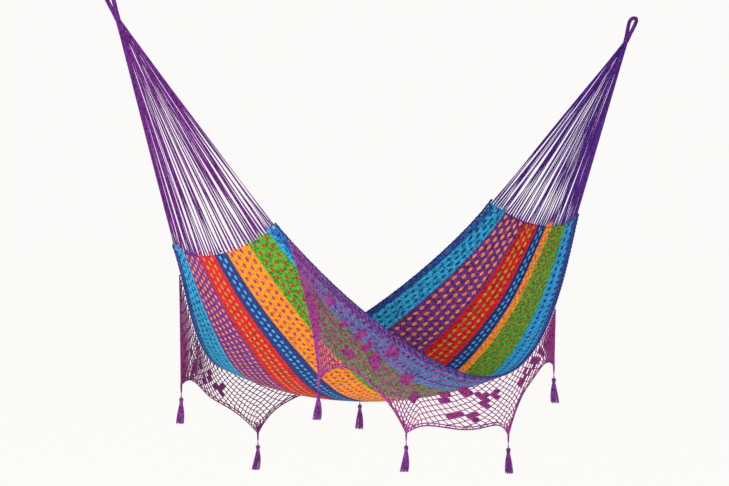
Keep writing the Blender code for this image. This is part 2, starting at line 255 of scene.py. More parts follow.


# Woven cotton ground: crossing threads at 2.4 mm, drawn along the cloth's own directions. The gaps between
# the threads are painted in the shade colour, as painted shade.
def wovenCotton(name, colour, shade, lengthWays, crossWays):
    material, shader = newMaterial(name, ground["roughness"])
    place = addNode(material, "TexCoord")
    grid = addNode(material, "Mapping", {"Vector": place.outputs["UV"], "Scale": (lengthWays, crossWays, 1)})
    warp = addNode(material, "TexWave", {"Vector": grid.outputs[0], "Scale": yarn["sinePeriod"]},
                   wave_type="BANDS", bands_direction="X")
    weft = addNode(material, "TexWave", {"Vector": grid.outputs[0], "Scale": yarn["sinePeriod"]},
                   wave_type="BANDS", bands_direction="Y")
    cross = addNode(material, "Math", {0: warp.outputs["Fac"], 1: weft.outputs["Fac"]}, operation="MAXIMUM")
    # painted shade: where no thread lies, the gap is painted in the shade colour
    tint = addNode(material, "Mix", {0: cross.outputs[0], 6: linear(shade), 7: linear(colour)},
                   data_type="RGBA", clamp_factor=True)
    bump = addNode(material, "Bump", {"Strength": 0.5, "Distance": 0.0004, "Height": cross.outputs[0]})
    material.node_tree.links.new(tint.outputs[2], shader.inputs["Base Color"])
    material.node_tree.links.new(bump.outputs[0], shader.inputs["Normal"])
    return material


# objects from many runs of cord

def addPiece(name, mesh, materials):
    for material in materials:
        mesh.materials.append(material)
    piece = bpy.data.objects.new(name, mesh)
    bpy.context.scene.collection.objects.link(piece)
    return piece


def cordCurve(name, runs, radius, resolution=0):
    curve = bpy.data.curves.new(name, "CURVE")
    curve.dimensions = "3D"
    curve.bevel_depth = radius
    curve.bevel_resolution = resolution
    curve.use_fill_caps = True
    for points, sizes in runs:
        spline = curve.splines.new("POLY")
        spline.points.add(len(points) - 1)
        spline.points.foreach_set("co", [c for point in points for c in (*point, 1)])
        if isinstance(sizes, (int, float)):
            sizes = [sizes] * len(points)
        spline.points.foreach_set("radius", sizes)
        spline.use_smooth = True
    return curve


def cordPiece(name, runs, radius, material, resolution=0):
    curve = cordCurve(name, runs, radius, resolution)
    holder = bpy.data.objects.new(name + "Curve", curve)
    bpy.context.scene.collection.objects.link(holder)
    bpy.context.view_layer.update()
    mesh = bpy.data.meshes.new_from_object(holder.evaluated_get(bpy.context.evaluated_depsgraph_get()))
    bpy.data.objects.remove(holder)
    bpy.data.curves.remove(curve)
    mesh.shade_smooth()
    return addPiece(name, mesh, [material])


# camera, at the height of the bed and looking along the room

camera = {"place": (-12.0242, -10.5004, -0.7039), "turn": 0.7234, "tilt": -0.0101, "lens": 214.74}


def addCamera():
    data = bpy.data.cameras.new("camera")
    data.lens = camera["lens"]
    data.sensor_width = 36
    data.clip_end = 200
    eye = bpy.data.objects.new("camera", data)
    bpy.context.scene.collection.objects.link(eye)
    eye.location = camera["place"]
    aim = Vector((
        math.cos(camera["turn"]) * math.cos(camera["tilt"]),
        math.sin(camera["turn"]) * math.cos(camera["tilt"]),
        math.sin(camera["tilt"]),
    ))
    eye.rotation_euler = aim.to_track_quat("-Z", "Y").to_euler()
    bpy.context.scene.camera = eye


addCamera()
print("camera placed")


# fringe outline: where its points hang, and how deep it is between them

fringe = {
    "near": {
        "points": ((-0.84, 0.388), (-0.494, 0.315), (0.128, 0.224), (0.616, 0.198)),
        # depth at the left and right of each arch, and how flat its top is
        "arches": ((0.235, 0.235, 2.6), (0.245, 0.150, 5.0), (0.098, 0.090, 2.8)),
        "reach": (0.105, 0.025),    # how far the net goes past its first and last points
        "slope": 1.8,               # how fast its first strands draw in to the first point
        "open": (-0.43, 0.42),      # between these places the net is pulled open
        "closed": (0.0120, 0.0140, 0.0105, 0.0170),     # spacing and row of cells at the two ends
        "motifs": (
            (-0.744, 0.104, 0.020), (-0.716, 0.186, 0.020), (-0.683, 0.092, 0.020), (-0.631, 0.132, 0.024),
            (-0.663, 0.116, 0.020), (-0.631, 0.156, 0.020), (-0.555, 0.063, 0.020), (-0.796, 0.064, 0.018),
            (-0.492, 0.120, 0.024), (-0.455, 0.165, 0.018), (-0.291, 0.109, 0.022), (-0.263, 0.165, 0.020),
            (-0.225, 0.152, 0.018), (-0.140, 0.145, 0.024), (-0.070, 0.088, 0.024), (-0.186, 0.060, 0.028),
            (-0.110, 0.062, 0.018), (0.020, 0.062, 0.017), (0.248, 0.062, 0.018), (0.292, 0.046, 0.018),
            (0.330, 0.052, 0.016), (0.371, 0.036, 0.020), (0.410, 0.046, 0.018), (0.447, 0.030, 0.022),
            (0.470, 0.060, 0.018), (0.500, 0.050, 0.022), (0.545, 0.070, 0.020),
        ),
        "colour": "A63C8E", "shade": "6A1F5C",
    },
    "far": {
        "points": ((-0.866, 0.372), (0.046, 0.250), (0.532, 0.288), (0.860, 0.290)),
        "arches": ((0.165, 0.105, 2.6), (0.165, 0.165, 3.0), (0.180, 0.180, 2.6)),
        "reach": (0.025, 0.025),
        "slope": 1.2,
        "open": (-0.60, 0.74),
        "closed": (0.0300, 0.0220, 0.0125, 0.0180),
        "motifs": (
            (-0.514, 0.067, 0.022), (-0.451, 0.096, 0.022), (-0.394, 0.052, 0.026), (-0.332, 0.086, 0.022),
            (-0.269, 0.082, 0.022), (-0.580, 0.110, 0.022), (-0.665, 0.121, 0.020), (0.180, 0.080, 0.022),
            (0.280, 0.130, 0.022), (0.440, 0.110, 0.022), (0.690, 0.120, 0.024),
        ),
        # painted shade: the far net is the same cord as the near one, painted darker because it hangs in
        # shade
        "colour": "86306F", "shade": "4A1440",
    },
    "top": 0.0065,              # middle of the net outside the middle of the edge cord
    "openSpacing": 0.0205,      # between two strands
    "openRow": 0.0105,          # height of a row of cells
    "pull": 0.40,               # how strongly the strands gather towards each point
    "cord": 0.0022,
    "border": 0.0027,
    "stitch": 0.0028,
    # how far below the hinge, and how far out, the strands of a point pass on their way into the knot
    "pointPath": ((-0.006, 0.0026), (0.002, 0.0024), (0.009, 0.0022), (0.016, 0.0019), (0.022, 0.0014)),
    "pointRadii": (0.0017, 0.0017, 0.0015, 0.0014, 0.0013, 0.0012, 0.0010),
}

tableSteps = 500


def edgeTable(edge):
    cords, tops = [], []
    for i in range(tableSteps + 1):
        u = -1 + 2 * i / tableSteps
        along = edgePoint(edge, min(u + 0.002, 1)) - edgePoint(edge, max(u - 0.002, -1))
        outward = along.cross(bedUp(u, 0 if edge == "far" else 1)).normalized() * -edgeSides[edge]
        cords.append(edgePoint(edge, u) + outward * (bed["selvedgeRadius"] + bed["gap"]))
    for i in range(tableSteps + 1):
        run = cords[min(i + 3, tableSteps)] - cords[max(i - 3, 0)]
        level = Vector((-run.y, run.x, 0)).normalized() * edgeSides[edge]
        tops.append(cords[i] + level * fringe["top"])
    return cords, tops


edgeCords, fringeTops = {}, {}
for edge in edgeSides:
    edgeCords[edge], fringeTops[edge] = edgeTable(edge)


def fromTable(table, u):
    place = min(max((u + 1) / 2, 0), 1) * tableSteps
    index = min(int(place), tableSteps - 1)
    return table[index].lerp(table[index + 1], place - index)


def fringeDepth(edge, u):
    points = fringe[edge]["points"]
    if u <= points[0][0]:
        return points[0][1]
    if u >= points[-1][0]:
        return points[-1][1]
    for (here, depth), (there, nextDepth), arch in zip(points, points[1:], fringe[edge]["arches"]):
        left, right, flatness = arch
        if u <= there:
            share = (u - here) / (there - here)
            top = left + (right - left) * share
            pointDepth = depth if share < 0.5 else nextDepth
            return top + (pointDepth - top) * abs(2 * share - 1) ** flatness


# cords of the tassels: each hangs from the fringe by a knot and carries a tassel

tasselCord = {
    "length": 0.036, "radius": 0.0015, "sway": 0.0004,
    "knotRadius": 0.003, "wrap": 0.0018, "yarn": 0.0011,    # the ball of a knot, its turns and their cord
    "colour": "83398F", "shade": "4E1B5E",
}
purpleCord = spunCotton("twisted cotton cord, purple", tasselCord["colour"], tasselCord["shade"], 9, 3)


def hingePoint(edge, u, depth):
    return fromTable(fringeTops[edge], u) + down * (depth + tasselCord["knotRadius"] + 2 * bed["gap"])


def knotRuns(middle, axis, radius):
    side = axis.orthogonal().normalized()
    other = axis.cross(side)
    wraps, bow = [], []
    for i in range(37):
        turn = math.tau * i / 12
        out = side * math.cos(turn) + other * math.sin(turn)
        wraps.append(middle + axis * (-0.0016 + 0.0032 * i / 36) + out * radius)
    for i in range(7):
        turn = math.pi * i / 6
        bow.append(middle + axis * (0.0022 * math.cos(turn)) + side * (0.0021 * math.sin(turn)))
    return [(wraps, 1.0), (bow, 1.0)]


tassels = []
for edge in edgeSides:
    for number, (u, depth) in enumerate(fringe[edge]["points"], 1):
        hinge = hingePoint(edge, u, depth)
        lowEnd = hinge + down * tasselCord["length"]
        sway = Vector((random.uniform(-1, 1), random.uniform(-1, 1), 0)) * tasselCord["sway"]
        points = []
        for i in range(12):
            t = i / 11
            points.append(hinge + down * tasselCord["length"] * t + sway * math.sin(math.pi * t))
        curve = cordCurve(f"{edge}TasselCord{number}", [(points, 1.0)], tasselCord["radius"], 2)
        curve.materials.append(purpleCord)
        cord = bpy.data.objects.new(f"{edge}TasselCord{number}", curve)
        bpy.context.scene.collection.objects.link(cord)
        knots = cordPiece(
            f"{edge}TasselKnots{number}",
            knotRuns(hinge, down, tasselCord["wrap"]) + knotRuns(lowEnd, down, tasselCord["wrap"]),
            tasselCord["yarn"], purpleCord, 1,
        )
        body = f"{edge}_tassel_cord_{number}"
        for piece in (cord, knots):
            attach(piece, body)
        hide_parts(f"{edge}_tassel_cord_{number}")
        tassels.append((edge, number, lowEnd))
print("tassel cords made:", len(tassels))


# bed: lengthwise strings that part round rows of contrast spots, over a thin woven ground

# From the far edge to the near one. A share is of the bed's width, and fingers are the loops at each end.
# Spots stand in columns, which the margin keeps off the panel's edges.
panels = (
    {"name": "cyan", "share": 0.145, "fingers": 7, "colour": "2FB2DA", "shade": "0E5C8E",
     "spot": "1F3C80", "spotShade": "14265A", "columns": 4, "margin": 0.06, "size": 1.05},
    {"name": "purple", "share": 0.176, "fingers": 8, "colour": "7E3A94", "shade": "36124E",
     "spot": "F6953C", "spotShade": "D8701E", "columns": 5, "margin": 0.04, "size": 1.3},
    {"name": "red", "share": 0.139, "fingers": 6, "colour": "E4181C", "shade": "7E0612",
     "spot": "A8A444", "spotShade": "6E7A28", "columns": 3, "margin": 0.14, "size": 1.2},
    {"name": "navy", "share": 0.102, "fingers": 4, "colour": "233A82", "shade": "0C163C",
     "spot": "48A9DC", "spotShade": "2A86BE", "columns": 2, "margin": 0.22, "size": 1.4},
    {"name": "orange", "share": 0.136, "fingers": 6, "colour": "FB9614", "shade": "B85C06",
     "spot": "94506E", "spotShade": "6E3060", "columns": 4, "margin": 0.05, "size": 1.2},
    {"name": "green", "share": 0.169, "fingers": 8, "colour": "5BA82E", "shade": "235C16",
     "spot": "C8281E", "spotShade": "941A20", "columns": 3, "margin": 0.08, "size": 1.25},
    {"name": "blue", "share": 0.133, "fingers": 6, "colour": "2BA4DC", "shade": "14689E",
     "spot": "1E2F70", "spotShade": "141F50", "columns": 2, "margin": 0.08, "size": 1.9},
)

weave = {
    "steps": 480,               # rows of points along the bed
    "spotSteps": 6,             # rows of points from one spot to the next, about 28 mm
    "lensLow": 0.55,            # lower makes shorter spots
    "spotHalf": 0.0088,         # half the width of a spot at mid length
    "perFinger": 5,             # strings that gather into one loop at the ends
    "perSpot": 3,               # contrast strings side by side in one column
    "spotLeast": 0.0007,        # radius of a contrast string between two spots, and in one
    "spotMost": 0.0031,
    "spotReach": 0.72,          # how far the strings of a spot spread, as a share of its opening
    "mostOpen": 0.75,           # of half a column, so that two columns keep apart
    "fill": 0.54,               # radius of a string as a share of the spacing
    "mostRadius": 0.0031,
    "fingerStart": 0.970,       # the strings of a finger draw together from here to its end
    "fingerEnd": 1.000,
    "gather": 0.50,
    "edgeWave": 0.0022,         # the strings of two panels interlock where they meet
    "jitter": 0.00030,
    "turns": 260,               # ply twist along a string, one turn in 9 mm
}

rowsU = [-1 + 2 * k / weave["steps"] for k in range(weave["steps"] + 1)]
rows = [bedRow(u) for u in rowsU]
panelEdges = [drawnEdges(u) for u in rowsU]
widths = [rowWidth(row) for row in rows]
midWidth = max(widths)
stringCount = sum(panel["fingers"] for panel in panels) * weave["perFinger"]
low = 0
for panel in panels:
    panel["low"], panel["high"] = low, low + panel["share"]
    low += panel["share"]


def lensAt(k, offset):
    wave = math.cos(math.tau * (k - offset) / weave["spotSteps"])
    return max(0, (wave + weave["lensLow"]) / (1 + weave["lensLow"]))


def drawnIn(panel, edges):
    return (drawnPlace(panel["high"], edges) - drawnPlace(panel["low"], edges)) / panel["share"]


def spotColumns(panel):
    span = panel["high"] - panel["low"]
    band = span * (1 - 2 * panel["margin"])
    pitch = band / panel["columns"]
    start = panel["low"] + span * panel["margin"] + pitch / 2
    stagger = weave["spotSteps"] // 2
    return [(start + pitch * i, pitch / 2, stagger * (i % 2)) for i in range(panel["columns"])]


def lensOf(panel, column, k):
    middle, _, offset = column
    return lensAt(k, offset) * panel["wobble"][middle][k // weave["spotSteps"]]


def opening(panel, column, k):
    widest = weave["spotHalf"] * panel["size"] * (widths[k] / midWidth) ** 0.75 / widths[k]
    return min(widest * lensOf(panel, column, k), column[1] * weave["mostOpen"])


def parted(share, k, panel):
    for column in panel["spots"]:
        middle, half, _ = column
        away = share - middle
        if abs(away) < half:
            opened = opening(panel, column, k)
            return middle + math.copysign(opened + (half - opened) * abs(away) / half, away)
    return share


fingers = []
for panel in panels:
    panel["spots"] = spotColumns(panel)
    panel["wobble"] = {
        middle: [random.uniform(0.8, 1.12) for _ in range(weave["steps"] // weave["spotSteps"] + 2)]
        for middle, _, _ in panel["spots"]
    }
    panel["ragged"] = {side: random.uniform(0, 0.008) for side in sides}
    span = panel["high"] - panel["low"]
    for i in range(panel["fingers"]):
        middle = panel["low"] + span * (i + 0.5) / panel["fingers"]
        ends = {}
        for side in sides:
            ends[side] = weave["fingerEnd"] + 0.004 - panel["ragged"][side] - random.uniform(0, 0.010)
        fingers.append({"panel": panel, "middle": middle, "ends": ends})


def stringRun(panel, share, finger, index, last):
    points, sizes = [], []
    edgeSign = -1 if index == 0 else 1 if index == last else 0
    drift = random.uniform(-1, 1) * weave["jitter"]
    for k, u in enumerate(rowsU):
        side = "left" if u < 0 else "right"
        end = finger["ends"][side]
        if abs(u) > end:
            continue
        moved = parted(share, k, panel) + drift / widths[k]
        if edgeSign:
            moved += edgeSign * weave["edgeWave"] * math.sin(math.pi * k / 2 + 0.6) / widths[k]
        gather = ease((abs(u) - weave["fingerStart"]) / (end - weave["fingerStart"]))
        moved = min(max(moved + (finger["middle"] - moved) * gather * weave["gather"], 0), 1)
        points.append(onRow(rows[k], drawnPlace(moved, panelEdges[k])))
        sizes.append(min(weave["fill"] * widths[k] / stringCount, weave["mostRadius"]))
    return points, sizes


def spotRun(panel, column, i):
    points, sizes = [], []
    spread = (i - (weave["perSpot"] - 1) / 2) / weave["perSpot"] * 2 * weave["spotReach"]
    for k, u in enumerate(rowsU):
        if abs(u) > weave["fingerStart"] + 0.012:
            continue
        share = column[0] + spread * opening(panel, column, k)
        points.append(onRow(rows[k], drawnPlace(share, panelEdges[k])))
        swell = min(lensOf(panel, column, k) * 2, 1)
        size = weave["spotLeast"] + (weave["spotMost"] - weave["spotLeast"]) * swell
        sizes.append(size * (widths[k] / midWidth) ** 0.5 * min(drawnIn(panel, panelEdges[k]) * 1.15, 1))
    return points, sizes


# solidify leaves the faces of a rim in no fixed order, so they are sorted by their corners
def faceOrder(face, vertCount):
    numbers = [vert.index for vert in face.verts]
    return min(numbers) * vertCount + max(numbers)


def addGround(panel):
    bm = bmesh.new()
    bm.loops.layers.uv.new("UVMap")
    bmesh.ops.create_grid(bm, x_segments=140, y_segments=8, size=1, calc_uvs=True)
    for vert in bm.verts:
        u = vert.co.x * ground["end"]
        share = panel["low"] + (panel["high"] - panel["low"]) * (vert.co.y + 1) / 2
        vert.co = bedPoint(u, drawnPlace(share, drawnEdges(u)))
    bmesh.ops.solidify(bm, geom=bm.faces[:], thickness=ground["thickness"])
    bmesh.ops.recalc_face_normals(bm, faces=bm.faces)
    bm.verts.index_update()
    bm.faces.sort(key=lambda face: faceOrder(face, len(bm.verts)))
    mesh = bpy.data.meshes.new(panel["name"] + "Cloth")
    bm.to_mesh(mesh)
    bm.free()
    mesh.shade_smooth()
    shares = [drawnIn(panel, edges) * panel["share"] for edges in panelEdges]
    flat = (bed["flatWidth"] * sum(shares) / len(shares), bed["flatLength"])
    cloth = wovenCotton(f"woven cotton ground, {panel['name']}", panel["colour"], panel["shade"],
                        flat[1] / ground["thread"], flat[0] / ground["thread"])
    return addPiece(panel["name"] + "Cloth", mesh, [cloth]), flat


for panel in panels:
    count = panel["fingers"] * weave["perFinger"]
    own = [finger for finger in fingers if finger["panel"] is panel]
    runs = []
    for i in range(count):
        share = panel["low"] + (panel["high"] - panel["low"]) * (i + 0.5) / count
        runs.append(stringRun(panel, share, own[i // weave["perFinger"]], i, count - 1))
    cotton = spunCotton(f"spun cotton string, {panel['name']}", panel["colour"], panel["shade"],
                        weave["turns"])
    strings = cordPiece(panel["name"] + "Strings", runs, 1.0, cotton)
    spotCotton = spunCotton(f"spun cotton spots, {panel['name']}", panel["spot"], panel["spotShade"],
                            weave["turns"])
    spotRuns = [spotRun(panel, column, i) for column in panel["spots"] for i in range(weave["perSpot"])]
    spots = cordPiece(panel["name"] + "Spots", spotRuns, 1.0, spotCotton)
    cloth, flat = addGround(panel)
    for piece in (strings, spots, cloth):
        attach(piece, "hammock")
    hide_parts(panel["name"] + "_panel")
print("bed strings:", stringCount)


# selvedges: three navy cords laid up together, and four navy strings beside them

selvedge = {
    "strand": 0.0023, "lay": 0.0027, "pitchSteps": 10,
    "beside": (0.0030, 0.0072, 0.0114, 0.0156), "besideRadius": 0.0031,
    "colour": "2A3F94", "shade": "18245C",
}
navyCotton = spunCotton("twisted cotton cord, navy", selvedge["colour"], selvedge["shade"], 300, 2)


def selvedgeRuns(edge):
    runs = [([], []) for _ in range(3)]
    for i in range(tableSteps + 1):
        u = (-1 + 2 * i / tableSteps) * 0.992
        cord = edgeCords[edge]
        middle = fromTable(cord, u)
        ahead = (fromTable(cord, min(u + 0.01, 1)) - fromTable(cord, max(u - 0.01, -1))).normalized()
        first = ahead.cross(down).normalized()
        second = ahead.cross(first)
        for j, (points, sizes) in enumerate(runs):
            turn = math.tau * (i / selvedge["pitchSteps"] + j / 3)
            points.append(middle + (first * math.cos(turn) + second * math.sin(turn)) * selvedge["lay"])
            sizes.append(selvedge["strand"])
    for inset in selvedge["beside"]:
        points, sizes = [], []
        for k, u in enumerate(rowsU[5:-5], 5):
            share = inset / widths[k]
            points.append(onRow(rows[k], share if edge == "far" else 1 - share))
            sizes.append(selvedge["besideRadius"] * (widths[k] / midWidth) ** 0.4)
        runs.append((points, sizes))
    return runs


for edge in edgeSides:
    piece = cordPiece(edge + "Selvedge", selvedgeRuns(edge), 1.0, navyCotton)
    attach(piece, "hammock")
    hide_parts(edge + "_selvedge")
print("selvedges laid")


# fans of cords from the bed to the necks

fan = {
    "steps": 26, "inside": 0.012, "bedRadius": 0.0023, "neckRadius": 0.0011,
    "pair": 0.0026, "pairTurns": 0.7,                       # two cords wind round each other to each finger
    "neckWide": 0.0092, "neckThick": 0.0066, "whipped": 0.016,
    "sag": 0.004, "cluster": 0.50,                          # some cords hang slack and lean together
    # painted light: both fans are the same cotton; the right one is painted bluer, with a darker shade
    # colour, for how the light falls at that end
    "colour": {"left": "742488", "right": "66269C"}, "shade": {"left": "3E1054", "right": "33105E"},
}


def fanRuns(side):
    bearing, lean, across = eyeAxes(side)
    neck = bearing + lean * hang["eyeLength"]
    runs, groups = [], []
    while len(groups) < len(fingers):
        members = fingers[len(groups):len(groups) + random.choice((1, 2, 2, 3, 3, 4))]
        groups += [sum(f["middle"] for f in members) / len(members)] * len(members)
    for i, finger in enumerate(fingers):
        u = sides[side] * (finger["ends"][side] - fan["inside"])
        middle = drawnPlace(finger["middle"], drawnEdges(u))
        start = bedPoint(u, middle)
        sideways = (bedPoint(u, min(middle + 0.01, 1)) - bedPoint(u, max(middle - 0.01, 0))) / 0.02
        beside = sideways.normalized()
        y = fan["neckWide"] * (1 - 2 * (i + 0.5) / len(fingers))
        bedRadius = fan["bedRadius"] * min(drawnIn(finger["panel"], drawnEdges(u)), 1) ** 0.8
        room = fan["neckThick"] * math.sqrt(max(1 - (y / fan["neckWide"]) ** 2, 0))
        for mate in (0, 1):
            finish = neck + wide * y + across * random.uniform(-room, room)
            slack = random.uniform(-0.4, 1) * fan["sag"]
            drift = (groups[i] - finger["middle"]) * fan["cluster"] * random.uniform(0.6, 1.2)
            phase = random.uniform(0, 0.8)
            out = beside.cross((finish - start).normalized())
            points, sizes = [], []
            for j in range(fan["steps"] + 1):
                t = j / fan["steps"]
                turn = math.pi * mate + phase + math.tau * fan["pairTurns"] * t
                point = start.lerp(finish, t) + down * slack * math.sin(math.pi * t)
                point += sideways * drift * (1 - t) * math.sin(math.pi * min(t * 1.6, 1)) ** 0.7
                point += (beside * math.cos(turn) + out * math.sin(turn)) * fan["pair"] * (1 - t)
                points.append(point)
                sizes.append(bedRadius + (fan["neckRadius"] - bedRadius) * t ** 1.5)
            points.append(finish - lean * fan["whipped"])
            sizes.append(fan["neckRadius"])
            runs.append((points, sizes))
    return runs


for side in sides:
    fanCotton = spunCotton(f"twisted cotton cord, {side} arms", fan["colour"][side],
                           fan["shade"][side], 110, 2)
    piece = cordPiece(side + "ArmCords", fanRuns(side), 1.0, fanCotton)
    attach(piece, "hammock")
    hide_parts(*[f"{side}_arm_cords_{panel['name']}" for panel in panels])
print("fans strung:", 2 * len(fingers), "cords each")


# necks and eyes: whipped cord at the neck, and a served loop that hangs on the hook

eye = {
    "halfWidth": 0.0165, "cordRadius": 0.0065, "flat": 0.008, "neckHalf": 0.0055,
    "core": 0.0062, "serving": 0.0014, "servingLay": 0.0064, "servingPitch": 0.0025, "turnSteps": 8,
    "blendStart": 0.012, "blendEnd": 0.085,                 # two distances along the legs, below the hook
    "whippingLength": 0.028, "whippingWide": 0.0112, "whippingThick": 0.0082, "whippingCord": 0.0014,
    "whippingSteps": 20,
    "colour": "6A2289", "shade": "3A1258",
}
servedCotton = spunCotton("served cotton cord, purple", eye["colour"], eye["shade"], 260, 2)
whippedCotton = spunCotton("whipping twine, purple", eye["colour"], eye["shade"], 80, 2)


def eyePath():
    top = -eye["cordRadius"] * math.cos(math.pi / 8)
    end = hang["eyeLength"] - eye["whippingLength"] * 0.35
    path = []
    for i in range(13):
        turn = math.pi / 2 * i / 12
        path.append((top + eye["halfWidth"] * (1 - math.cos(turn)),
                     eye["flat"] / 2 + (eye["halfWidth"] - eye["flat"] / 2) * math.sin(turn)))
    start = path[-1][0]
    for i in range(1, 25):
        share = i / 24
        path.append((start + (end - start) * share,
                     eye["halfWidth"] + (eye["neckHalf"] - eye["halfWidth"]) * ease(share)))
    return [(s, -w) for s, w in reversed(path)] + path


def evenly(points, step):
    spaced = [points[0]]
    left = step
    for a, b in zip(points, points[1:]):
        length = (b - a).length
        at = left
        while at <= length:
            spaced.append(a.lerp(b, at / length))
            at += step
        left = at - length
    return spaced


def eyeRuns(side):
    bearing, lean, across = eyeAxes(side)
    path = [bearing + lean * s + wide * w for s, w in eyePath()]
    fine = evenly(path, eye["servingPitch"] / eye["turnSteps"])
    coarse = evenly(path, 0.004)
    helix = []
    for i, point in enumerate(fine):
        ahead = (fine[min(i + 4, len(fine) - 1)] - fine[max(i - 4, 0)]).normalized()
        inward = ahead.cross(across).normalized()
        turn = math.tau * i / eye["turnSteps"]
        helix.append(point + (inward * math.cos(turn) + across * math.sin(turn)) * eye["servingLay"])
    return [(coarse, eye["core"]), (helix, eye["serving"])]


def whippingRuns(side):
    bearing, lean, across = eyeAxes(side)
    start = bearing + lean * (hang["eyeLength"] - eye["whippingLength"])
    steps = int(eye["whippingLength"] / (eye["whippingCord"] * 1.75)) * eye["whippingSteps"]
    points = []
    for i in range(steps + 1):
        turn = math.tau * i / eye["whippingSteps"]
        along = eye["whippingCord"] + (eye["whippingLength"] - 2 * eye["whippingCord"]) * i / steps
        taper = 1 - 0.10 * (2 * i / steps - 1) ** 2
        points.append(start + lean * along + wide * eye["whippingWide"] * taper * math.cos(turn)
                      + across * eye["whippingThick"] * taper * math.sin(turn))
    return [(points, eye["whippingCord"])]


for side in sides:
    loop = cordPiece(side + "Eye", eyeRuns(side), 1.0, servedCotton, 1)
    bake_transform(loop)
    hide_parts(f"{side}_eye_bight", f"{side}_eye_leg_near", f"{side}_eye_leg_far")
    whipping = cordPiece(side + "NeckWhipping", whippingRuns(side), 1.0, whippedCotton, 1)
    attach(whipping, "hammock")
    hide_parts(f"{side}_neck_whipping")
print("eyes served and necks whipped")


# fringes: a knotted net of cells, pulled down to a tassel at each point

def gathered(edge, u, t):
    points = fringe[edge]["points"]
    if u <= points[0][0]:
        return u + (points[0][0] - u) * (1 - (1 - min(t, 1)) ** fringe[edge]["slope"])
    if u >= points[-1][0]:
        return u + (points[-1][0] - u) * min(t, 1)
    for (here, _), (there, _) in zip(points, points[1:]):
        if u <= there:
            q = (u - here) / (there - here)
            q -= fringe["pull"] * min(t, 1) ** 2 * math.sin(math.tau * q) / math.tau
            return here + (there - here) * q


def netPoint(edge, u, t):
    u = gathered(edge, u, t)
    return fromTable(fringeTops[edge], u) + down * fringeDepth(edge, u) * t


def cellSize(edge, u):
    start, end = fringe[edge]["open"]
    closed = fringe[edge]["closed"]
    if u < (start + end) / 2:
        spacing, row = closed[:2]
        opened = ease((u - start + 0.08) / 0.10)
    else:
        spacing, row = closed[2:]
        opened = ease((end + 0.08 - u) / 0.10)
    return spacing + (fringe["openSpacing"] - spacing) * opened, row + (fringe["openRow"] - row) * opened


def strandPlaces(edge):
    reach = fringe[edge]["reach"]
    u = fringe[edge]["points"][0][0] - reach[0] + 0.001
    last = fringe[edge]["points"][-1][0] + reach[1] - 0.001
    places = []
    while u < last:
        places.append(u)
        run = (fromTable(fringeTops[edge], u + 0.01) - fromTable(fringeTops[edge], u - 0.01)).length / 0.02
        u += cellSize(edge, u)[0] / run
    return places


def netStrands(edge, places):
    runs = []
    for i, u in enumerate(places):
        points = [netPoint(edge, u, 0)]
        j = 1
        while True:
            mate = i + 1 if (i + j) % 2 == 0 else i - 1
            mate = min(max(mate, 0), len(places) - 1)
            middle = (u + places[mate]) / 2
            beside = (u - middle) * 0.14
            row = cellSize(edge, middle)[1]
            depth = fringeDepth(edge, middle)
            if (j + 0.35) * row > depth:
                break
            for part in (-0.17, 0.17):
                points.append(netPoint(edge, middle + beside, (j + part) * row / depth))
            j += 1
        points.append(netPoint(edge, u, 1))
        runs.append((points, fringe["cord"]))
    return runs


# flowers: cells near each centre are filled with short stitches
def flowerStitches(edge, places):
    runs = []
    for motifU, motifDepth, motifRadius in fringe[edge]["motifs"]:
        centre = netPoint(edge, motifU, motifDepth / fringeDepth(edge, motifU))
        for i, (u, after) in enumerate(zip(places, places[1:])):
            middle = (u + after) / 2
            depth = fringeDepth(edge, middle)
            row = cellSize(edge, middle)[1]
            for j in range(1, int(depth / row)):
                away = (netPoint(edge, middle, j * row / depth) - centre).length
                if (i + j) % 2 == 0 or away > motifRadius * random.uniform(0.72, 1.15):
                    continue
                for part in (-0.6, -0.2, 0.2, 0.6):
                    reach = 0.80 - 0.40 * abs(part)
                    t = (j + part) * row / depth
                    run = [netPoint(edge, middle + (after - u) * reach * s, t) for s in (-1, 0, 1)]
                    runs.append((run, fringe["stitch"]))
    return runs


def netBorders(edge, begin, end):
    runs = []
    for inset, size in ((0, fringe["border"]), (0.0085, fringe["cord"])):
        border = []
        for i in range(321):
            u = begin + (end - begin) * i / 320
            border.append(netPoint(edge, u, 1 - inset / fringeDepth(edge, u)))
        runs.append((border, size))
    for u in (begin, end):
        runs.append(([netPoint(edge, u, i / 24) for i in range(25)], fringe["border"]))
    return runs


# one point of the net: strands that draw together and go down into the knot of a tassel cord
def pointRuns(edge, u, depth, hinge):
    runs = []
    for i in range(7):
        angle = math.tau * i / 7
        ring = Vector((math.cos(angle), math.sin(angle), 0))
        high = netPoint(edge, u + (i - 3) * 0.010, 1 - 0.030 / depth)
        points = [high, high.lerp(hinge, 0.45) + ring * 0.0012]
        for drop, out in fringe["pointPath"]:
            points.append(hinge + down * drop + ring * out)
        runs.append((points, fringe["pointRadii"]))
    return runs


for edge in edgeSides:
    netCotton = spunCotton(f"crochet cotton cord, {edge} net", fringe[edge]["colour"],
                           fringe[edge]["shade"], 24, 2)
    places = strandPlaces(edge)
    runs = netStrands(edge, places) + flowerStitches(edge, places)
    runs += netBorders(edge, places[0], places[-1])
    piece = cordPiece(edge + "Fringe", runs, 1.0, netCotton)
    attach(piece, "hammock")
    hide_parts(edge + "_fringe")
    for number, (u, depth) in enumerate(fringe[edge]["points"], 1):
        hinge = hingePoint(edge, u, depth)
        tip = cordPiece(f"{edge}FringePoint{number}", pointRuns(edge, u, depth, hinge), 1.0, netCotton)
        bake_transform(tip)
print("fringes netted")


# tassels: strands folded over a cord, bound under the fold, and combed out

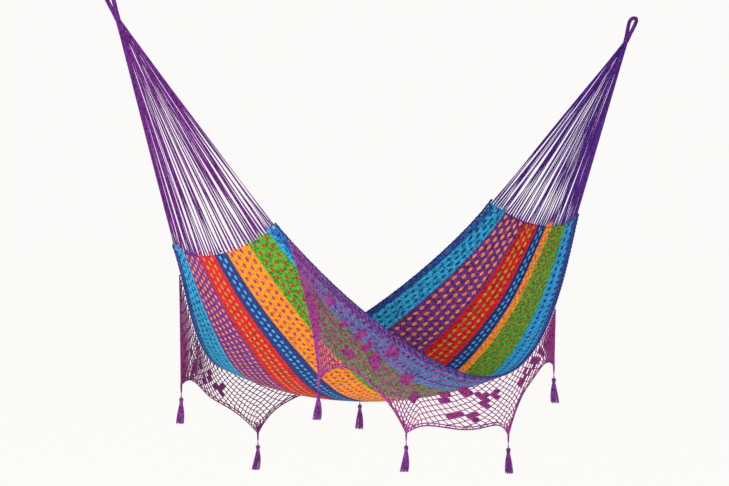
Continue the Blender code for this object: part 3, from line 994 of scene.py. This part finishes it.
tassel = {
    "top": -0.004, "head": 0.017, "headRadius": 0.0072, "neckRadius": 0.0048,
    # radius and height of a strand as it folds over the cord and comes down round the head
    "profile": ((0.62, -0.0012), (0.94, -0.0045), (1.00, -0.0080), (0.86, -0.0118)),
    "skirt": 0.077, "skirtRadius": 0.0150, "skirtFlare": 1.9, "bend": 0.008, "uneven": 0.0045,
    "rings": ((28, 1.0), (16, 0.64), (8, 0.30)),            # strands in each ring, and its radius
    "strand": 0.00105, "bind": 0.0009, "bindTurns": 5, "bindHeight": 0.0052,
    "colour": "8C3E9A", "shade": "4C1A5C",
}
tasselCotton = spunCotton("combed cotton strands, purple", tassel["colour"], tassel["shade"], 10, 2, 1.2)


def tasselRuns(pivot):
    runs = []
    bend = Vector((random.uniform(-1, 1), random.uniform(-1, 1), 0)) * tassel["bend"]
    base = tassel["top"] - tassel["head"]
    for count, ring in tassel["rings"]:
        for i in range(count):
            angle = math.tau * (i + random.uniform(-0.3, 0.3)) / count
            swing = angle + random.uniform(-0.25, 0.25)
            spread = tassel["skirtRadius"] * ring * random.uniform(0.82, 1.02)
            length = tassel["skirt"] - abs(random.gauss(0, tassel["uneven"]))
            neck = tassel["neckRadius"] * ring
            profile = [(0.0008, tassel["top"], angle)]
            for out, drop in tassel["profile"]:
                profile.append((tassel["headRadius"] * out * ring, tassel["top"] + drop, angle))
            profile += [(neck, base + 0.0018, angle), (neck, base - 0.0015, angle)]
            for j in range(1, 6):
                t = j / 5
                out = neck + (spread - neck) * (1 - (1 - t) ** tassel["skirtFlare"])
                profile.append((out, base - 0.0015 - (length - 0.0015) * t, angle + (swing - angle) * t))
            points = []
            for r, z, a in profile:
                below = min(max(base - z, 0) / tassel["skirt"], 1)
                points.append(pivot + Vector((r * math.cos(a), r * math.sin(a), z)) + bend * below ** 2)
            runs.append((points, tassel["strand"]))
    bind = []
    steps = tassel["bindTurns"] * 12
    radius = tassel["neckRadius"] + tassel["strand"] * 0.8
    for i in range(steps + 1):
        turn = math.tau * i / 12
        z = base + tassel["bindHeight"] * (0.5 - i / steps)
        bind.append(pivot + Vector((radius * math.cos(turn), radius * math.sin(turn), z)))
    runs.append((bind, tassel["bind"]))
    return runs


for edge, number, pivot in tassels:
    piece = cordPiece(f"{edge}Tassel{number}", tasselRuns(pivot), 1.0, tasselCotton)
    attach(piece, f"{edge}_tassel_{number}")
    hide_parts(f"{edge}_tassel_head_{number}", f"{edge}_tassel_skirt_{number}")
print("tassels hung")


# room: pale floor and soft studio light

room = {
    "floorZ": -2.30, "floorSize": 80, "floorColour": "FCFBF9", "floorGlow": 0.289,
    "worldColour": "FEFDFB", "seen": 0.975, "ambient": 0.46,    # backdrop to the eye, and its light
    "keyPower": 230, "keySize": 2.4, "sun": 1.2, "sunAngle": math.radians(35),
}


def addFloor():
    bm = bmesh.new()
    bmesh.ops.create_grid(bm, x_segments=1, y_segments=1, size=room["floorSize"])
    bmesh.ops.translate(bm, verts=bm.verts, vec=(0, 0, room["floorZ"]))
    mesh = bpy.data.meshes.new("floor")
    bm.to_mesh(mesh)
    bm.free()
    paper, shader = newMaterial("matt paper sweep", 0.9)
    shader.inputs["Base Color"].default_value = linear(room["floorColour"])
    shader.inputs["Emission Color"].default_value = linear(room["floorColour"])
    shader.inputs["Emission Strength"].default_value = room["floorGlow"]
    addPiece("floor", mesh, [paper])


def addLight(name, place, target, size, power):
    data = bpy.data.lights.new(name, "AREA")
    data.shape = "DISK"
    data.size = size
    data.energy = power
    lamp = bpy.data.objects.new(name, data)
    bpy.context.scene.collection.objects.link(lamp)
    lamp.location = place
    lamp.rotation_euler = (Vector(target) - Vector(place)).to_track_quat("-Z", "Y").to_euler()


addFloor()
addLight("lowKey", (-5.0, -3.6, -1.5), (-0.3, 0, -1.1), room["keySize"], room["keyPower"])
sun = bpy.data.lights.new("window", "SUN")
sun.energy = room["sun"]
sun.angle = room["sunAngle"]
window = bpy.data.objects.new("window", sun)
bpy.context.scene.collection.objects.link(window)
window.rotation_euler = Vector((0.55, -0.45, -0.70)).to_track_quat("-Z", "Y").to_euler()
world = bpy.data.worlds.new("studio")
world.use_nodes = True
backdrop = world.node_tree.nodes["Background"]
backdrop.inputs["Color"].default_value = linear(room["worldColour"])
seen = addNode(world, "LightPath")
strength = addNode(world, "Mix", {0: seen.outputs["Is Camera Ray"], 2: room["ambient"], 3: room["seen"]})
world.node_tree.links.new(strength.outputs[0], backdrop.inputs["Strength"])
bpy.context.scene.world = world
bpy.context.scene.view_settings.view_transform = "Standard"
print("room lit")
